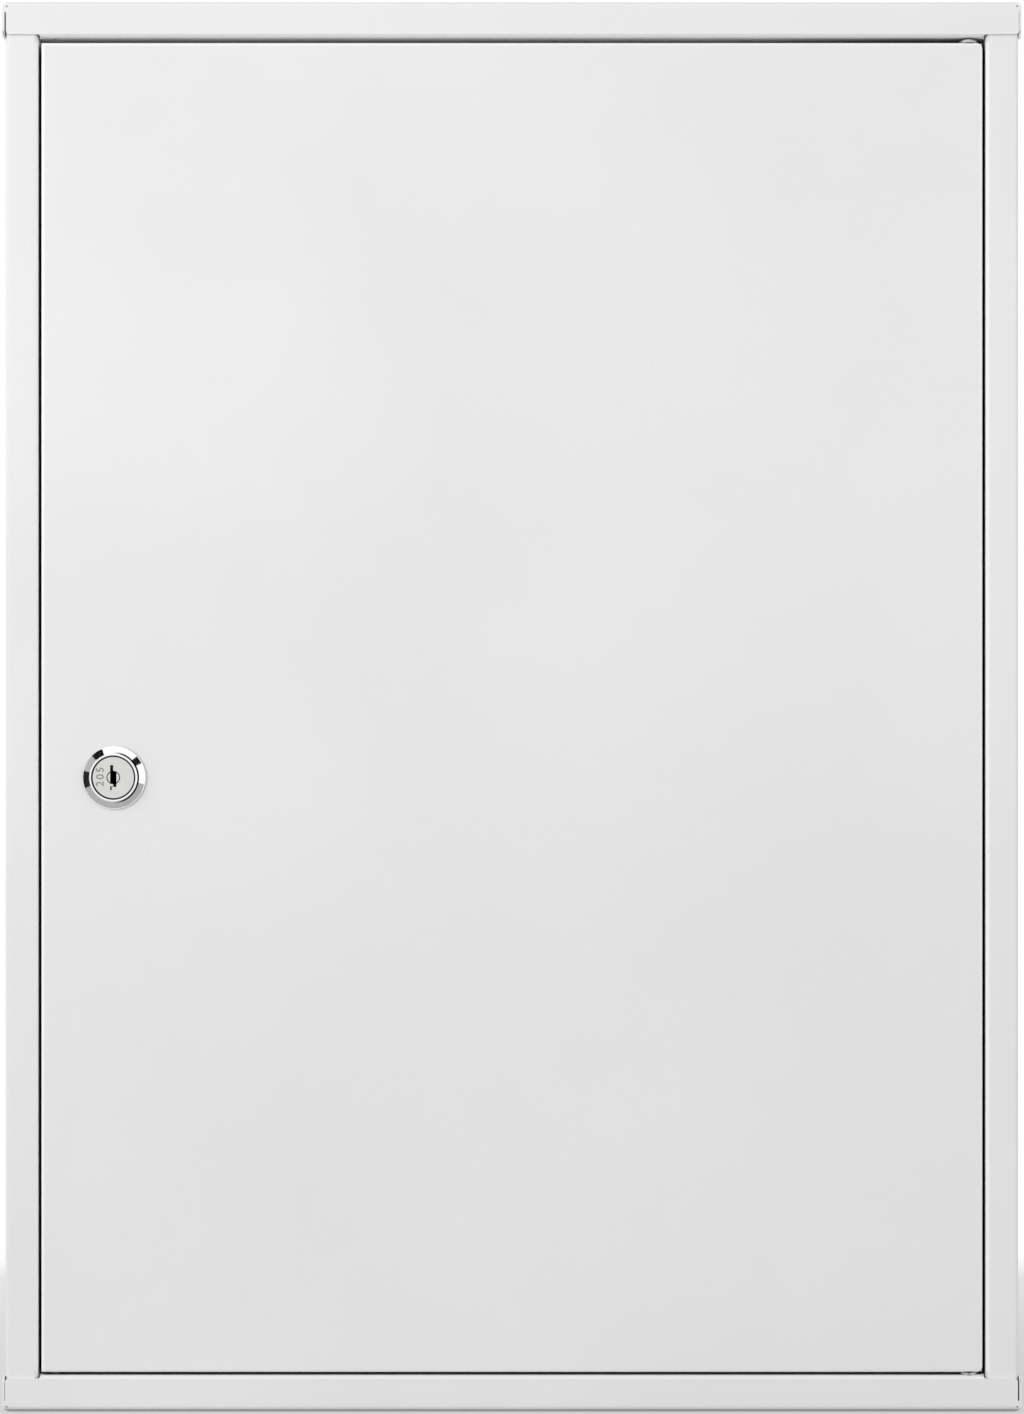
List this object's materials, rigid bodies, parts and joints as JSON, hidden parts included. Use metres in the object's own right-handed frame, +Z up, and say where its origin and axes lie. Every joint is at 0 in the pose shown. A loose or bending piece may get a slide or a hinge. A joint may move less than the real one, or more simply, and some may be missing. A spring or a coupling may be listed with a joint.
{
  "type": "lockable medicine cabinet",
  "caption": "Shallow lockable steel wall cabinet with an inset side-hinged door, a cam lock and shelves, for keeping medicines.",
  "frame": {"origin": "middle of the four wall-fixing holes, on the back face", "axes": "+X to the right seen from the front, -Y out of the door, +Y into the wall, +Z up"},
  "size_m": [0.325, 0.1518, 0.45],
  "materials": {
    "cabinet_paint": "satin white powder coat on thin steel sheet",
    "door_paint": "satin white powder coat on thin steel sheet",
    "shelf_paint": "satin white powder coat on thin steel sheet",
    "zinc_steel": "bright zinc plate",
    "lock_chrome": "polished chrome plate on die-cast zinc",
    "plug_nickel": "satin nickel plate",
    "wafer_nickel": "stamped nickel silver",
    "spring_steel": "drawn spring wire"
  },
  "bodies": {
    "cabinet": {"side_back_shell": "cabinet_paint", "top_cap": "cabinet_paint", "bottom_cap": "cabinet_paint", "top_hinge_pin": "zinc_steel", "bottom_hinge_pin": "zinc_steel", "bottom_hinge_washer": "zinc_steel", "shelf_1": "shelf_paint", "shelf_2": "shelf_paint", "shelf_3": "shelf_paint", "shelf_ledge_left_1": "shelf_paint", "shelf_ledge_left_2": "shelf_paint", "shelf_ledge_left_3": "shelf_paint", "shelf_ledge_right_1": "shelf_paint", "shelf_ledge_right_2": "shelf_paint", "shelf_ledge_right_3": "shelf_paint"},
    "door": {"door_panel": "door_paint", "top_hinge_washer": "zinc_steel", "lock_housing": "lock_chrome", "lock_nut": "zinc_steel"},
    "lock_rotor": {"lock_plug": "plug_nickel", "lock_wafers": "wafer_nickel", "lock_wafer_springs": "spring_steel", "stop_washer": "zinc_steel", "lock_cam": "zinc_steel", "cam_lock_washer": "zinc_steel", "cam_screw": "zinc_steel"}
  },
  "joints": [
    {"name": "door_hinge", "type": "hinge", "parent": "cabinet", "child": "door", "pos_m": [0.14606, -0.1458, 0], "axis": [0, 0, 1], "range_deg": [0, 110]},
    {"name": "lock_turn", "type": "hinge", "parent": "door", "child": "lock_rotor", "pos_m": [-0.12686, -0.1493, -0.02262], "axis": [0, 1, 0], "range_deg": [0, 90]}
  ]
}
